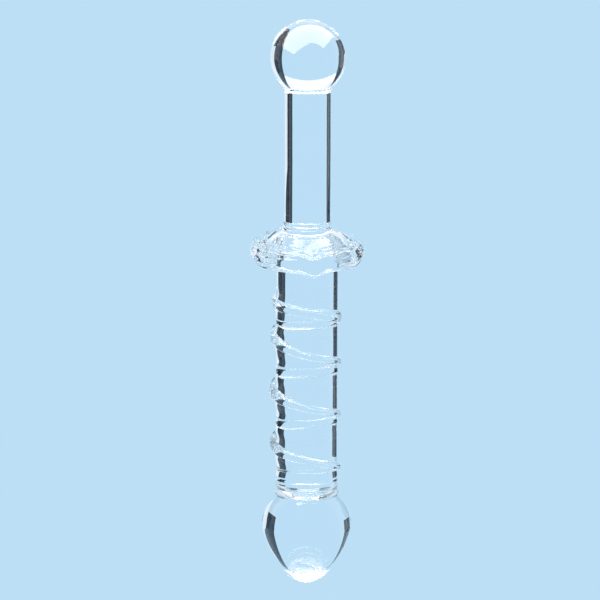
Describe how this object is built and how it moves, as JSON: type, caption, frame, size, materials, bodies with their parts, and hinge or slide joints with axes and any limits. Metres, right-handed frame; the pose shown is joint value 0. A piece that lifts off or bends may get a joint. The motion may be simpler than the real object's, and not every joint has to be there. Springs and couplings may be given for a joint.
{
  "type": "glass massage wand",
  "caption": "Solid clear glass wand with a ball-ended grip, a fluted collar, a spiral-ridged shaft and an egg-shaped tip.",
  "frame": {"origin": "on the wand's axis, in the middle of the grip rod, where a hand holds it", "axes": "+Z along the wand from the tip to the ball, -Y the front, +X the right side"},
  "size_m": [0.0464, 0.0468, 0.231],
  "materials": {
    "clear_glass": "fire-polished, clear and colourless, with faint tool marks where gathers meet"
  },
  "bodies": {
    "root": {"grip_ball": "clear_glass", "grip_rod": "clear_glass", "grip_flare": "clear_glass", "fluted_collar": "clear_glass", "shaft": "clear_glass", "spiral_trail": "clear_glass", "neck_bead": "clear_glass", "tip_bulb": "clear_glass"}
  },
  "joints": []
}
